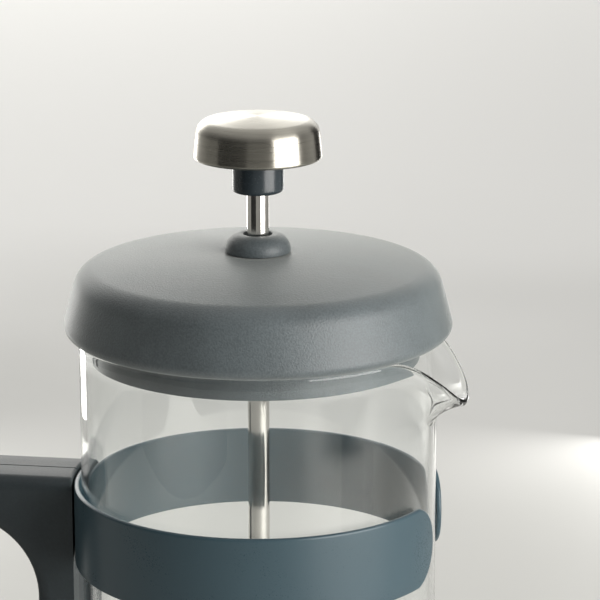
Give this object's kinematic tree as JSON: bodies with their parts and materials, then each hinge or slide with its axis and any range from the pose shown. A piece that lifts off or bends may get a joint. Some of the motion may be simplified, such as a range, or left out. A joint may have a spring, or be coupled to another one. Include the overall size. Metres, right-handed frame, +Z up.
{
  "type": "french press",
  "caption": "Glass beaker in a banded steel frame with a looped side handle, a domed turning lid, and a filter plunger on a rod with a metal knob.",
  "frame": {"origin": "centre of the face that the press stands on, on the beaker's axis", "axes": "+Z up along the beaker's axis, +X towards the pouring lip, -X towards the handle, front to -Y"},
  "size_m": [0.1667, 0.106, 0.2374],
  "materials": {
    "beaker_glass": "clear borosilicate glass",
    "painted_steel": "satin slate paint",
    "silicone": "matt silicone",
    "handle_plastic": "matt, lightly textured",
    "lid_plastic": "matt, fine leather texture",
    "collar_plastic": "satin to glossy",
    "brushed_steel": "turned and brushed",
    "bright_steel": "polished stainless steel",
    "steel_gauze": "woven stainless gauze",
    "brass": "turned brass"
  },
  "bodies": {
    "frame": {"upper_band": "painted_steel", "base_cup": "painted_steel", "base_pad": "silicone", "base_foot": "silicone", "frame_spine": "painted_steel", "handle_front": "handle_plastic", "handle_rear": "handle_plastic", "handle_screws": "bright_steel", "handle_inserts": "brass"},
    "beaker": {"glass_beaker": "beaker_glass"},
    "guide": {"lid_bush": "lid_plastic", "bush_nut": "lid_plastic"},
    "lid": {"lid_cover": "lid_plastic", "lid_skirt": "lid_plastic"},
    "plunger": {"knob_cap": "brushed_steel", "knob_core": "collar_plastic", "knob_insert": "brass", "plunger_rod": "bright_steel", "rod_collar": "bright_steel", "spring_plate": "bright_steel", "sealing_coil": "bright_steel", "mesh_screen": "steel_gauze", "cross_plate": "bright_steel", "filter_nut": "bright_steel"}
  },
  "joints": [
    {"name": "beaker_lift", "type": "slide", "parent": "frame", "child": "beaker", "axis": [0, 0, 1], "range_m": [0, 0.14]},
    {"name": "lid_lift", "type": "slide", "parent": "beaker", "child": "guide", "axis": [0, 0, 1], "range_m": [0, 0.18]},
    {"name": "lid_turn", "type": "hinge", "parent": "guide", "child": "lid", "pos_m": [0, 0, 0.19], "axis": [0, 0, 1], "continuous": true},
    {"name": "plunge", "type": "slide", "parent": "guide", "child": "plunger", "axis": [0, 0, 1], "range_m": [0, 0.15]}
  ]
}
